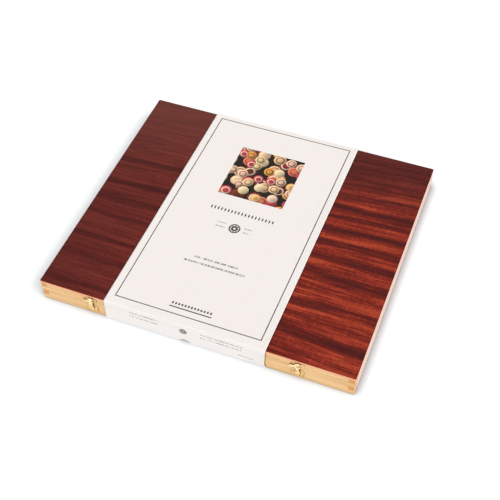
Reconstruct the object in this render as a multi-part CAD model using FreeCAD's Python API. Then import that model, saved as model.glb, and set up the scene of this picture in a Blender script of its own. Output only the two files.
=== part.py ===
import FreeCAD, Part
import os

# A flat wooden case for artists' pastels: a finger-jointed base with a hinged lid, two brass
# hook latches on the front, a card sleeve round the middle and four trays of sticks inside.
# Millimetres. The origin is the middle of the case in plan, on the surface that it lies on.
# +X is right, -Y is the latch side, +Y is the hinge side and +Z is up.

# Case
case_width = 430.0
case_depth = 375.0
base_height = 24.0
lid_rail_height = 6.8
parting_gap = 0.2
rail_thickness = 9.0
corner_radius = 1.2
edge_ease = 0.35
finger_rows = 3
bottom_thickness = 3.0
rebate_depth = 4.0
top_panel_thickness = 3.4
veneer_thickness = 0.6
veneer_ease = 0.3

# Card sleeve
card_thickness = 0.6
sleeve_left_gap = 6.7
sleeve_right_gap = 19.7
sleeve_skew = 3.6
fold_radius = 0.55
notch_width = 16.0
notch_height = 5.0
notch_shift = -1.5

# Pastel sticks, their wrappers and trays
tray_rows = 4
sticks_per_row = 25
stick_diameter = 12.6
stick_length = 68.0
stick_bevel = 0.6
wrapper_thickness = 0.15
wrapper_length = 42.0
wrapper_shift = -5.0
tray_height = 11.5
tray_gap = 0.5
pocket_floor = 3.0
pocket_clearance = 0.25

# Foam pad in the lid
pad_side_gap = 1.0
pad_stick_gap = 0.35
pad_corner_radius = 3.0
pad_edge_radius = 1.5

# Hook latches
latch_inset = 73.5
brass_ease = 0.2
plate_width = 16.0
plate_height = 13.0
plate_thickness = 0.8
plate_corner_radius = 2.0
plate_drop = 2.5
keeper_height = 5.6
boss_radius = 3.0
boss_height = 0.8
rivet_drop = 10.5
rivet_radius = 1.2
rivet_head_radius = 2.3
rivet_head_height = 0.9
rivet_tail = 2.0
hook_thickness = 1.2
hook_eye_radius = 3.4
hook_head_radius = 4.4
hook_arm_width = 4.6
hook_play = 0.1
stud_radius = 1.2
stud_head_radius = 2.2
stud_head_height = 0.8
stud_tail = 5.0
slot_clearance = 0.35
tab_reach = 8.5
tab_height = 4.0
tab_drop = 2.6
tab_curl_radius = 0.8
nail_radius = 0.6
nail_head_radius = 1.1
nail_head_height = 0.45
nail_tail = 5.2
nail_inset = 2.1

# Butt hinges on the back
hinge_inset = 73.5
leaf_width = 25.0
base_leaf_height = 12.0
lid_leaf_height = 8.0
leaf_thickness = 1.0
leaf_corner_radius = 1.5
knuckle_radius = 2.0
knuckle_count = 5
knuckle_gap = 0.2
pin_radius = 0.8
pin_proud = 0.4
pin_bevel = 0.2
hinge_clearance = 0.3
running_clearance = 0.05
screw_spread = 15.0
screw_radius = 1.1
screw_head_radius = 2.1
screw_head_height = 0.8
screw_tail = 6.0
screw_slot_width = 0.5
screw_slot_depth = 0.4
lid_screw_rise = 4.4
base_screw_drop = 7.6

# Making
overrun = 1.0
tolerance = 0.0001
quarter_turn = 90.0
half_turn = 2 * quarter_turn
full_turn = 4 * quarter_turn

# Levels and inner sizes
floor_z = card_thickness
parting_z = floor_z + base_height
lid_z = parting_z + parting_gap
panel_z = lid_z + lid_rail_height
veneer_z = panel_z + top_panel_thickness
top_z = veneer_z + veneer_thickness
inner_width = case_width - 2 * rail_thickness
inner_depth = case_depth - 2 * rail_thickness
finger_height = base_height / finger_rows
tray_z = floor_z + bottom_thickness
pocket_radius = stick_diameter / 2 + pocket_clearance
stick_z = tray_z + pocket_floor + pocket_radius
pad_z = stick_z + stick_diameter / 2 + pad_stick_gap
stick_pitch = inner_width / sticks_per_row
tray_pitch = inner_depth / tray_rows
pin_z = parting_z + parting_gap / 2
pin_out = knuckle_radius + hinge_clearance
rivet_z = parting_z - rivet_drop
keeper_z = lid_z + lid_rail_height / 2
hook_reach = keeper_z - rivet_z
hook_out = plate_thickness + boss_height + hook_play
hook_front = hook_out + hook_thickness
latch_x = case_width / 2 - latch_inset
hinge_x = case_width / 2 - hinge_inset

# The sleeve fills the room between the left hinge leaf and where the right hook swings to
sleeve_left = -hinge_x + leaf_width / 2 + sleeve_left_gap
sleeve_right = latch_x - hook_reach - hook_head_radius - sleeve_right_gap
sleeve_width = sleeve_right - sleeve_left - sleeve_skew
sleeve_middle = (sleeve_left + sleeve_right) / 2

ORIGIN = FreeCAD.Vector(0, 0, 0)
X_AXIS = FreeCAD.Vector(1, 0, 0)
Y_AXIS = FreeCAD.Vector(0, 1, 0)
Z_AXIS = FreeCAD.Vector(0, 0, 1)


def block(width, depth, height, x=0, y=0, z=0):
    """A box centred on x and y, standing on z."""
    corner = FreeCAD.Vector(x - width / 2, y - depth / 2, z)
    return Part.makeBox(width, depth, height, corner)


def rod(radius, length, start, axis):
    return Part.makeCylinder(radius, length, start, axis)


def upright_edges(shape):
    return [e for e in shape.Edges
            if e.BoundBox.XLength < tolerance and e.BoundBox.YLength < tolerance]


def level_edges(shape, z):
    return [e for e in shape.Edges
            if abs(e.BoundBox.ZMin - z) < tolerance and abs(e.BoundBox.ZMax - z) < tolerance]


def edges_along_x(shape):
    return [e for e in shape.Edges
            if e.BoundBox.YLength < tolerance and e.BoundBox.ZLength < tolerance]


def only_solid(shape):
    return shape.Solids[0]


def group(shapes):
    return Part.makeCompound([s for shape in shapes for s in shape.Solids])


def moved(shape, x, y, z):
    return shape.translated(FreeCAD.Vector(x, y, z))


def on_front(shape, x, z):
    """Stand a piece drawn flat in XY, facing up, against the front of the case."""
    placed = shape.copy()
    placed.rotate(ORIGIN, X_AXIS, quarter_turn)
    return moved(placed, x, -case_depth / 2, z)


def on_back(shape, x, z):
    """Stand a piece drawn flat in XY, facing up, against the back of the case."""
    placed = shape.copy()
    placed.rotate(ORIGIN, X_AXIS, quarter_turn)
    placed.rotate(ORIGIN, Z_AXIS, half_turn)
    return moved(placed, x, case_depth / 2, z)


def eased_slab(z, height, eased_z, ease):
    """The outline of the case over one height, with round corners and one eased rim."""
    slab = block(case_width, case_depth, height, z=z)
    slab = slab.makeFillet(corner_radius, upright_edges(slab))
    return slab.makeChamfer(ease, level_edges(slab, eased_z))


def headed_pin(radius, head_radius, head_height, tail):
    """A round-headed nail, rivet or stud standing on z = 0 with its tail below."""
    top = FreeCAD.Vector(0, 0, head_height)
    rim = FreeCAD.Vector(head_radius, 0, 0)
    sphere_radius = (head_radius ** 2 + head_height ** 2) / (2 * head_height)
    middle_x = head_radius / 2
    drop = sphere_radius - (sphere_radius ** 2 - middle_x ** 2) ** (1 / 2)
    middle = FreeCAD.Vector(middle_x, 0, head_height - drop)
    outline = [
        Part.Arc(top, middle, rim).toShape(),
        Part.makeLine(rim, FreeCAD.Vector(radius, 0, 0)),
        Part.makeLine(FreeCAD.Vector(radius, 0, 0), FreeCAD.Vector(radius, 0, -tail)),
        Part.makeLine(FreeCAD.Vector(radius, 0, -tail), FreeCAD.Vector(0, 0, -tail)),
        Part.makeLine(FreeCAD.Vector(0, 0, -tail), top),
    ]
    face = Part.Face(Part.Wire(outline))
    return face.revolve(ORIGIN, Z_AXIS, full_turn)


def round_cornered_plate(width, height, thickness, radius, y=0):
    plate = block(width, height, thickness, y=y)
    plate = plate.makeFillet(radius, upright_edges(plate))
    return plate.makeChamfer(brass_ease, level_edges(plate, thickness))


# Wooden case

def base_outline():
    slab = eased_slab(floor_z, base_height, parting_z, edge_ease)
    return slab.makeChamfer(edge_ease, level_edges(slab, floor_z))


def lid_rail_outline():
    return eased_slab(lid_z, lid_rail_height, lid_z, edge_ease)


def bottom_panel():
    return block(inner_width + 2 * rebate_depth, inner_depth + 2 * rebate_depth,
                 bottom_thickness, z=floor_z)


def base_rail_across(side):
    """Front or back rail: it keeps the fingers of the first and last rows."""
    y = side * (case_depth - rail_thickness) / 2
    rail = block(case_width, rail_thickness, base_height, y=y, z=floor_z)
    for end in (-1, 1):
        x = end * (case_width - rail_thickness) / 2
        socket = block(rail_thickness, rail_thickness, finger_height, x, y, floor_z + finger_height)
        rail = rail.cut(socket)
    return rail.common(base_outline()).cut(bottom_panel())


def base_rail_along(side):
    """Left or right rail: its fingers fill the middle row, out to the front and back faces."""
    x = side * (case_width - rail_thickness) / 2
    rail = block(rail_thickness, inner_depth, base_height, x=x, z=floor_z)
    finger = block(rail_thickness, case_depth, finger_height, x=x, z=floor_z + finger_height)
    rail = rail.fuse(finger).removeSplitter()
    return rail.common(base_outline()).cut(bottom_panel())


def lid_rail_across(side):
    y = side * (case_depth - rail_thickness) / 2
    rail = block(inner_width, rail_thickness, lid_rail_height, y=y, z=lid_z)
    return rail.common(lid_rail_outline())


def lid_rail_along(side):
    x = side * (case_width - rail_thickness) / 2
    rail = block(rail_thickness, case_depth, lid_rail_height, x=x, z=lid_z)
    return rail.common(lid_rail_outline())


def top_panel():
    slab = block(case_width, case_depth, top_panel_thickness, z=panel_z)
    return slab.makeFillet(corner_radius, upright_edges(slab))


def top_veneer():
    return eased_slab(veneer_z, veneer_thickness, top_z, veneer_ease)


# Card sleeve

def sleeve_plan():
    """The skewed plan of the sleeve, as tall as the case: its front sits further left."""
    front_y = -case_depth / 2 - card_thickness
    corners = [
        FreeCAD.Vector(sleeve_left, front_y, -overrun),
        FreeCAD.Vector(sleeve_left + sleeve_width, front_y, -overrun),
        FreeCAD.Vector(sleeve_right, -front_y, -overrun),
        FreeCAD.Vector(sleeve_right - sleeve_width, -front_y, -overrun),
    ]
    face = Part.Face(Part.makePolygon(corners + corners[:1]))
    return face.extrude(Z_AXIS * (top_z + card_thickness + 2 * overrun))


def sleeve_band():
    """The whole card band, folded round the closed case."""
    outer = block(case_width, case_depth + 2 * card_thickness, top_z + card_thickness)
    outer = outer.makeFillet(fold_radius, edges_along_x(outer))
    inner = block(case_width + 2 * overrun, case_depth, top_z - floor_z, z=floor_z)
    return outer.cut(inner).common(sleeve_plan())


def thumb_notch():
    """A round bite out of the fold at the sleeve's lower front edge."""
    radius = ((notch_width / 2) ** 2 + notch_height ** 2) / (2 * notch_height)
    x = sleeve_middle + notch_shift
    front = -case_depth / 2 - card_thickness
    reach = card_thickness + overrun
    upper = rod(radius, reach, FreeCAD.Vector(x, front - overrun, notch_height - radius), Y_AXIS)
    lower = rod(radius, reach, FreeCAD.Vector(x, front + notch_height - radius, -overrun), Z_AXIS)
    return upper.fuse(lower)


def sleeve_half(z_low, z_high):
    slab = block(2 * case_width, 2 * case_depth, z_high - z_low, z=z_low)
    return sleeve_band().common(slab)


def sleeve_lower():
    return sleeve_half(-overrun, parting_z).cut(thumb_notch())


def sleeve_upper():
    return sleeve_half(lid_z, top_z + card_thickness + overrun)


# Pastels and foam

def row_y(row):
    """Middle of a tray: row 0 lies at the latch side."""
    return (row - (tray_rows - 1) / 2) * tray_pitch


def stick_x(index):
    return (index - (sticks_per_row - 1) / 2) * stick_pitch


def lying_rod(radius, length):
    return rod(radius, length, FreeCAD.Vector(0, -length / 2, 0), Y_AXIS)


def pastel_stick():
    stick = lying_rod(stick_diameter / 2, stick_length)
    rims = [e for e in stick.Edges if e.BoundBox.YLength < tolerance]
    return stick.makeChamfer(stick_bevel, rims)


def paper_wrapper():
    outer = lying_rod(stick_diameter / 2 + wrapper_thickness, wrapper_length)
    inner = lying_rod(stick_diameter / 2, wrapper_length + 2 * overrun)
    return moved(outer.cut(inner), 0, wrapper_shift, 0)


def pocket():
    """A round-bottomed pocket, open upwards past the top of the tray."""
    length = stick_length + 2 * pocket_clearance
    mouth = block(2 * pocket_radius, length, tray_height)
    return lying_rod(pocket_radius, length).fuse(mouth)


def foam_tray(row):
    y = row_y(row)
    tray = block(inner_width - 2 * tray_gap, tray_pitch - tray_gap, tray_height, y=y, z=tray_z)
    pockets = [moved(pocket(), stick_x(i), y, stick_z) for i in range(sticks_per_row)]
    return tray.cut(pockets)


def stick_row(row, piece):
    return group([moved(piece, stick_x(i), row_y(row), stick_z) for i in range(sticks_per_row)])


def foam_pad():
    pad = block(inner_width - 2 * pad_side_gap, inner_depth - 2 * pad_side_gap,
                panel_z - pad_z, z=pad_z)
    pad = pad.makeFillet(pad_corner_radius, upright_edges(pad))
    return pad.makeFillet(pad_edge_radius, level_edges(pad, pad_z))


# Hook latches, drawn facing up with the rivet or the stud at the origin

def latch_nail():
    return headed_pin(nail_radius, nail_head_radius, nail_head_height, nail_tail + plate_thickness)


def latch_nails():
    """The pair of nails of one plate, their heads on the plate's face."""
    x = plate_width / 2 - nail_inset
    return group([moved(latch_nail(), side * x, 0, plate_thickness) for side in (-1, 1)])


def latch_rivet():
    """Rivet whose head holds the hook on the plate's boss."""
    shoulder = hook_front + hook_play
    rivet = headed_pin(rivet_radius, rivet_head_radius, rivet_head_height, shoulder + rivet_tail)
    return moved(rivet, 0, 0, shoulder)


def latch_stud():
    """Headed stud on the keeper that the hook closes round."""
    shoulder = hook_front + hook_play
    stud = headed_pin(stud_radius, stud_head_radius, stud_head_height, shoulder + stud_tail)
    return moved(stud, 0, 0, shoulder)


def latch_plate():
    """The lower plate: its middle, where the nails sit, lies below the rivet."""
    plate = round_cornered_plate(plate_width, plate_height, plate_thickness,
                                 plate_corner_radius, y=-plate_drop)
    boss = rod(boss_radius, plate_thickness + boss_height, ORIGIN, Z_AXIS)
    plate = plate.fuse(boss).removeSplitter()
    return plate.cut([latch_rivet(), moved(latch_nails(), 0, -plate_drop, 0)])


def latch_keeper():
    plate = round_cornered_plate(plate_width, keeper_height, plate_thickness,
                                 plate_corner_radius)
    return plate.cut([latch_stud(), latch_nails()])


def hook_slot():
    """The slot that the stud leaves by: an arc about the rivet, open to the right."""
    half = stud_radius + slot_clearance
    depth = hook_thickness + 2 * overrun
    low = FreeCAD.Vector(0, 0, -overrun)
    ring = rod(hook_reach + half, depth, low, Z_AXIS).cut(rod(hook_reach - half, depth, low, Z_AXIS))
    reach = hook_head_radius + overrun
    window = Part.makeBox(reach, 2 * hook_head_radius, depth,
                          FreeCAD.Vector(0, hook_reach - hook_head_radius, -overrun))
    seat = rod(half, depth, FreeCAD.Vector(0, hook_reach, -overrun), Z_AXIS)
    return ring.common(window).fuse(seat)


def tab_flat():
    y = hook_reach - tab_drop
    return block(tab_reach, tab_height, hook_thickness, x=-tab_reach / 2, y=y)


def tab_curl():
    """The end of the thumb tab at the hook's upper left, curled outwards."""
    y = hook_reach - tab_drop
    outer_radius = tab_curl_radius + hook_thickness
    centre = FreeCAD.Vector(-tab_reach, y - tab_height / 2, outer_radius)
    tube = rod(outer_radius, tab_height, centre, Y_AXIS).cut(
        rod(tab_curl_radius, tab_height, centre, Y_AXIS))
    quarter = Part.makeBox(outer_radius, tab_height, outer_radius,
                           FreeCAD.Vector(-tab_reach - outer_radius, y - tab_height / 2, 0))
    return tube.common(quarter)


def latch_hook():
    head = rod(hook_head_radius, hook_thickness, FreeCAD.Vector(0, hook_reach, 0), Z_AXIS)
    eye = rod(hook_eye_radius, hook_thickness, ORIGIN, Z_AXIS)
    arm = block(hook_arm_width, hook_reach, hook_thickness, y=hook_reach / 2)
    hook = head.fuse([eye, arm, tab_flat()]).removeSplitter()
    bore = rod(rivet_radius + running_clearance, hook_thickness + 2 * overrun,
               FreeCAD.Vector(0, 0, -overrun), Z_AXIS)
    hook = hook.cut([hook_slot(), bore])
    rims = [e for e in level_edges(hook, hook_thickness) if e.BoundBox.XMax > tolerance - tab_reach]
    hook = hook.makeChamfer(brass_ease, rims)
    return moved(hook.fuse(tab_curl()), 0, 0, hook_out)


# Hinges, drawn facing up with the pin's height at y = 0

def hinge_screw():
    screw = headed_pin(screw_radius, screw_head_radius, screw_head_height,
                       screw_tail + leaf_thickness)
    slot = block(2 * screw_head_radius, screw_slot_width, screw_head_height,
                 z=screw_head_height - screw_slot_depth)
    return moved(screw.cut(slot), 0, 0, leaf_thickness)


def leaf_screws(y):
    x = screw_spread / 2
    return group([moved(hinge_screw(), side * x, y, 0) for side in (-1, 1)])


def base_leaf_screws():
    return leaf_screws(-base_screw_drop)


def lid_leaf_screws():
    return leaf_screws(lid_screw_rise + parting_gap / 2)


def knuckle(index, radius, gap):
    """One barrel on the pin's axis, shortened by gap, or lengthened where gap is negative."""
    pitch = leaf_width / knuckle_count
    start = -leaf_width / 2 + index * pitch + gap / 2
    return rod(radius, pitch - gap, FreeCAD.Vector(start, 0, pin_out), X_AXIS)


def hinge_leaf(plate_y, plate_height_y, own, bore_radius, screws):
    """A leaf with its own knuckles, cut back round the other leaf's knuckles."""
    plate = block(leaf_width, plate_height_y, leaf_thickness, y=plate_y)
    far_y = plate_y + plate_height_y / 2 if plate_y > 0 else plate_y - plate_height_y / 2
    far_edges = [e for e in upright_edges(plate) if abs(e.BoundBox.YMin - far_y) < tolerance]
    plate = plate.makeFillet(leaf_corner_radius, far_edges)
    others = [i for i in range(knuckle_count) if i not in own]
    plate = plate.cut([knuckle(i, knuckle_radius + hinge_clearance, -knuckle_gap) for i in others])
    leaf = plate.fuse([knuckle(i, knuckle_radius, knuckle_gap) for i in own]).removeSplitter()
    bore = rod(bore_radius, leaf_width + 2 * overrun,
               FreeCAD.Vector(-leaf_width / 2 - overrun, 0, pin_out), X_AXIS)
    return leaf.cut([bore, screws])


def base_leaf():
    height = base_leaf_height - parting_gap / 2
    y = -parting_gap / 2 - height / 2
    own = range(0, knuckle_count, 2)
    return hinge_leaf(y, height, own, pin_radius, base_leaf_screws())


def lid_leaf():
    height = lid_leaf_height - parting_gap / 2
    y = parting_gap / 2 + height / 2
    own = range(1, knuckle_count, 2)
    return hinge_leaf(y, height, own, pin_radius + running_clearance, lid_leaf_screws())


def hinge_pin():
    length = leaf_width + 2 * pin_proud
    pin = rod(pin_radius, length, FreeCAD.Vector(-length / 2, 0, pin_out), X_AXIS)
    rims = [e for e in pin.Edges if e.BoundBox.XLength < tolerance]
    return pin.makeChamfer(pin_bevel, rims)


def build():
    parts = {}
    sides = {"left": -1, "right": 1}

    for name, side in sides.items():
        parts["latch_%s_plate" % name] = on_front(latch_plate(), side * latch_x, rivet_z)
        parts["latch_%s_rivet" % name] = on_front(latch_rivet(), side * latch_x, rivet_z)
        parts["latch_%s_hook" % name] = on_front(latch_hook(), side * latch_x, rivet_z)
        parts["latch_%s_keeper" % name] = on_front(latch_keeper(), side * latch_x, keeper_z)
        parts["latch_%s_stud" % name] = on_front(latch_stud(), side * latch_x, keeper_z)
        parts["hinge_%s_base_leaf" % name] = on_back(base_leaf(), side * hinge_x, pin_z)
        parts["hinge_%s_lid_leaf" % name] = on_back(lid_leaf(), side * hinge_x, pin_z)
        parts["hinge_%s_pin" % name] = on_back(hinge_pin(), side * hinge_x, pin_z)

    latch_places = [side * latch_x for side in sides.values()]
    hinge_places = [side * hinge_x for side in sides.values()]
    parts["latch_plate_nails"] = group(
        [on_front(latch_nails(), x, rivet_z - plate_drop) for x in latch_places])
    parts["latch_keeper_nails"] = group([on_front(latch_nails(), x, keeper_z) for x in latch_places])
    parts["hinge_base_screws"] = group([on_back(base_leaf_screws(), x, pin_z) for x in hinge_places])
    parts["hinge_lid_screws"] = group([on_back(lid_leaf_screws(), x, pin_z) for x in hinge_places])

    base_front_holes = [parts["latch_plate_nails"], parts["latch_left_rivet"],
                        parts["latch_right_rivet"]]
    lid_front_holes = [parts["latch_keeper_nails"], parts["latch_left_stud"],
                       parts["latch_right_stud"]]
    parts["base_front_rail"] = only_solid(base_rail_across(-1).cut(base_front_holes))
    parts["base_back_rail"] = only_solid(base_rail_across(1).cut(parts["hinge_base_screws"]))
    parts["lid_front_rail"] = only_solid(lid_rail_across(-1).cut(lid_front_holes))
    parts["lid_back_rail"] = only_solid(lid_rail_across(1).cut(parts["hinge_lid_screws"]))
    for name, side in sides.items():
        parts["base_%s_rail" % name] = only_solid(base_rail_along(side))
        parts["lid_%s_rail" % name] = only_solid(lid_rail_along(side))
    parts["base_bottom_panel"] = bottom_panel()
    parts["lid_top_panel"] = top_panel()
    parts["lid_top_veneer"] = top_veneer()
    parts["lid_foam_pad"] = foam_pad()

    stick = pastel_stick()
    wrapper = paper_wrapper()
    for row in range(tray_rows):
        parts["pastel_tray_%d" % (row + 1)] = only_solid(foam_tray(row))
        parts["pastel_sticks_row_%d" % (row + 1)] = stick_row(row, stick)
        parts["pastel_wrappers_row_%d" % (row + 1)] = stick_row(row, wrapper)

    parts["sleeve_lower"] = only_solid(sleeve_lower())
    parts["sleeve_upper"] = only_solid(sleeve_upper())
    return parts


os.makedirs("parts", exist_ok=True)
for node, shape in build().items():
    shape.exportStep("parts/%s.step" % node)
    print(node, len(shape.Solids), round(shape.Volume), shape.isValid())
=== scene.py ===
import bmesh
import bpy
import math
import numpy as np
from functools import partial, reduce
from mathutils import Matrix, Vector


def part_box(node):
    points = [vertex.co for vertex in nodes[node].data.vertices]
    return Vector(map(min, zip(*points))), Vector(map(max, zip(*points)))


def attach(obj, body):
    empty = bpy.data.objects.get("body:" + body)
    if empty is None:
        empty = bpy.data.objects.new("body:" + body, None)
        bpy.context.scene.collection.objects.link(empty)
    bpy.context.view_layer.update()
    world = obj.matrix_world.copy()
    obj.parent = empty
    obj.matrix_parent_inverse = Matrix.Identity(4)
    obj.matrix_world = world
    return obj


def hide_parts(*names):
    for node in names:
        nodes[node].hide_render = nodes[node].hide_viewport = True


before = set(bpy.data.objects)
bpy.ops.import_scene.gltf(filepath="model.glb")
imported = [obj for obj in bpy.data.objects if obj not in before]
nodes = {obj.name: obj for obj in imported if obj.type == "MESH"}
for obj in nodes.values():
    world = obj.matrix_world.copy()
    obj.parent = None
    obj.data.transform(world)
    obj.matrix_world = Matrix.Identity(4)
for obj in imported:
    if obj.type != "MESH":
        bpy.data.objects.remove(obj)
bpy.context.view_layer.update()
mm = 0.001


# Beech rails
# The base and the lid are one glued, finger-jointed box of pale steamed beech, sawn open along
# the parting line and sanded. Each side is one board, so its grain runs on from base to lid.

beech_streak = 70 * mm          # length of a streak of colour
beech_streak_ratio = 26         # a streak's length over its width
beech_fleck = 2.4 * mm          # length of a ray fleck, drawn a little coarse to show
beech_fleck_ratio = 7
beech_fibre = 9 * mm
beech_fibre_ratio = 40
beech_ring = 2.6 * mm           # width of a growth ring on the end grain
end_pore = 0.45 * mm
beech_corner_shade = 3.2 * mm          # how far painted shade reaches out of a corner
wave_turn = 20                  # what Blender's Wave texture multiplies a distance by


def colour(code):
    """Linear colour of an sRGB hex code."""
    srgb = np.array([int(code[i:i + 2], 16) for i in (1, 3, 5)]) / 255
    linear = np.where(srgb <= 0.04045, srgb / 12.92, ((srgb + 0.055) / 1.055) ** 2.4)
    return (*linear, 1)


def add_node(tree, kind, sockets=(), stops=(), blend="LINEAR", **settings):
    """Adds one node with its settings and links, and returns it.

    Its sockets get values, hex colours or sources, either by name or in the order that the node
    shows them. Stops are a ramp's places and colours, and blend is how it runs between them."""
    node = tree.nodes.new("ShaderNode" + kind)
    for name, value in settings.items():
        setattr(node, name, value)
    shown = [socket for socket in node.inputs if socket.enabled]
    if isinstance(sockets, dict):
        named = {socket.name: socket for socket in reversed(shown)}
        shown, sockets = [named[name] for name in sockets], sockets.values()
    for socket, value in zip(shown, sockets):
        if isinstance(value, bpy.types.Node):
            value = next(output for output in value.outputs if output.enabled)
        if isinstance(value, bpy.types.NodeSocket):
            tree.links.new(value, socket)
        else:
            socket.default_value = colour(value) if isinstance(value, str) else value
    if stops:
        node.color_ramp.interpolation = blend
        ramp = node.color_ramp.elements
        ramp[0].position, ramp[-1].position = stops[0][0], stops[-1][0]
        for place, code in stops[1:-1]:
            ramp.new(place)
        for element, (place, code) in zip(ramp, stops):
            element.color = colour(code)
    return node


def new_material(name):
    """An empty material, and add_node for its tree."""
    material = bpy.data.materials.new(name)
    material.use_nodes = True
    material.node_tree.nodes.clear()
    return material, partial(add_node, material.node_tree)


def surface(add, height, strength, depth, sockets):
    """Ends a material with its Principled shader, over the relief that a height gives."""
    relief = add("Bump", {"Height": height, "Strength": strength, "Distance": depth})
    add("OutputMaterial", [add("BsdfPrincipled", {**sockets, "Normal": relief})])


def dress(material, *names):
    """Puts a material on CAD nodes, in place of their plain one."""
    for name in names:
        nodes[name].data.materials.clear()
        nodes[name].data.materials.append(material)


def largest(add, values):
    """The largest of several values; of masks, this is one where any of them is one."""
    return reduce(lambda first, second: add("Math", [first, second], operation="MAXIMUM"), values)


def edge_mask(add, normal):
    """One on a sanded chamfer, where the normal leans between two axes, and zero on the faces."""
    parts = add("SeparateXYZ", [add("VectorMath", [normal], operation="ABSOLUTE")])
    return add("MapRange", [largest(add, parts.outputs), 0.97, 0.8])


def corner_shade_mask(add, reach):
    """Painted shade: zero in the open and one deep in a corner, by how much is taken up within reach of
    a point.
    """
    open_air = add("AmbientOcclusion", {"Distance": reach}, samples=6)
    return add("MapRange", [open_air.outputs["AO"], 0.94, 0.5])


def beech(name, along, board, pale):
    """Beech with its grain along axis 0 or 1: streaks, short flecks, and rings on the end grain.

    Board shifts the pattern, and pale says how far the board is made paler; on the right board this is
    painted light."""
    material, add = new_material(name)
    place = add("TexCoord")
    where, normal = place.outputs["Object"], place.outputs["Normal"]

    def stretched(ratio, length, detail):
        scale = [ratio, ratio, ratio]
        scale[along] = 1
        run = add("Mapping", {"Vector": where, "Location": board, "Scale": scale})
        return add("TexNoise", {"Vector": run, "Scale": 1 / length, "Detail": detail})

    streaks = stretched(beech_streak_ratio, beech_streak, 5)
    flecks = stretched(beech_fleck_ratio, beech_fleck, 1)
    fibres = stretched(beech_fibre_ratio, beech_fibre, 2)
    fleck_mask = add("MapRange", [flecks, 0.62, 0.72, 0, 0.45])
    face = add("ValToRGB", [streaks],
               [(0.3, "#dba869"), (0.46, "#e8bb80"), (0.58, "#eec48b"), (0.72, "#f4d09d")])
    face = add("Mix", [fleck_mask, face, "#bd8449"], data_type="RGBA")
    # Paling the face towards pink-white: on the right board this paints the strong light that falls from
    # the right.
    face = add("Mix", [pale, face, "#ffe0ed"], data_type="RGBA")

    rings = add("TexWave", {"Vector": where, "Scale": 2 * math.pi / (wave_turn * beech_ring),
                            "Distortion": 3.0, "Detail": 2, "Detail Scale": 1.5},
                wave_type="RINGS", rings_direction="XY"[along])
    pores = add("TexNoise", {"Vector": where, "Scale": 1 / end_pore, "Detail": 1})
    pore_mask = add("MapRange", [pores, 0.5, 0.68, 0, 0.5])
    end = add("ValToRGB", [rings], [(0.0, "#cf8843"), (0.6, "#dd9a55"), (1.0, "#e9ac69")])
    end = add("Mix", [pore_mask, end, "#9c5f2a"], data_type="RGBA")

    facing = add("SeparateXYZ", [normal])
    square_on = add("Math", [facing.outputs[along]], operation="ABSOLUTE")
    end_mask = add("MapRange", [square_on, 0.75, 0.9])
    worn = add("Math", [edge_mask(add, normal), 0.4], operation="MULTIPLY")
    wood = face
    # The last mix paints shade, a dark brown, into corners and gaps: the parting line, under the brass
    # and beside the sleeve.
    for mask, over in ((end_mask, end), (worn, "#dba86c"), (corner_shade_mask(add, beech_corner_shade), "#96622f")):
        wood = add("Mix", [mask, wood, over], data_type="RGBA")
    height = add("Math", [fibres, fleck_mask], operation="SUBTRACT")
    gloss = add("MapRange", [streaks, 0.3, 0.7, 0.36, 0.5])
    surface(add, height, 0.35, 0.06 * mm, {"Base Color": wood, "Roughness": gloss})
    return material


boards = {                      # axis of the grain, shift of the pattern, how far it is made paler
    "front": (0, (0.11, 0.02, 0.22), 0.0), "back": (0, (0.53, 0.3, 0.1), 0.0),
    # The right board's paleness is painted light, from the lamp at the right.
    "left": (1, (0.7, 0.15, 0.2), 0.1), "right": (1, (0.25, 0.61, 0.8), 0.46),
}
for side, board in boards.items():
    dress(beech("steamed_beech_" + side, *board), "base_%s_rail" % side, "lid_%s_rail" % side)


# Plywood panels
# The lid's top is three-ply under the veneer, and its cut edge shows as a thin pinkish line.
# The base has a thin panel of the same ply let in under its rails.

ply_streak = 45 * mm
ply_streak_ratio = 18
glue_share = 0.025              # a glue line's share of the panel's thickness
face_ply_share = 0.3
ply_grain = 0.35                # how strongly the streaks tint the plies


def plywood(name, node):
    """Three plies over the panel's height: the middle one shows end grain, with glue lines between."""
    material, add = new_material(name)
    low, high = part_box(node)
    where = add("TexCoord").outputs["Object"]
    level = add("MapRange", [add("SeparateXYZ", [where]).outputs["Z"], low.z, high.z])
    plies = add("ValToRGB", [level],
                [(0.0, "#ffbf92"), (face_ply_share, "#dc8f62"),
                 (face_ply_share + glue_share, "#ffb891"), (1 - face_ply_share, "#d5855a"),
                 (1 - face_ply_share + glue_share, "#fbae85")], "CONSTANT")
    run = add("Mapping", {"Vector": where, "Scale": (1, ply_streak_ratio, ply_streak_ratio)})
    streaks = add("TexNoise", {"Vector": run, "Scale": 1 / ply_streak, "Detail": 4})
    grain = add("ValToRGB", [streaks], [(0.3, "#d6a584"), (0.65, "#ffffff")])
    wood = add("Mix", [ply_grain, plies, grain], data_type="RGBA", blend_type="MULTIPLY")
    surface(add, streaks, 0.5, 0.08 * mm, {"Base Color": wood, "Roughness": 0.62})
    return material


dress(plywood("ply_lid_edge", "lid_top_panel"), "lid_top_panel")
dress(plywood("ply_base", "base_bottom_panel"), "base_bottom_panel")


# Mahogany veneer
# One quarter-cut leaf covers the lid. Its interlocked grain makes dark and bright ribbons that
# wander along the case; they are quiet at the left and orange-red at the right, partly as the
# veneer's own figure and partly as painted sheen.

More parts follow.
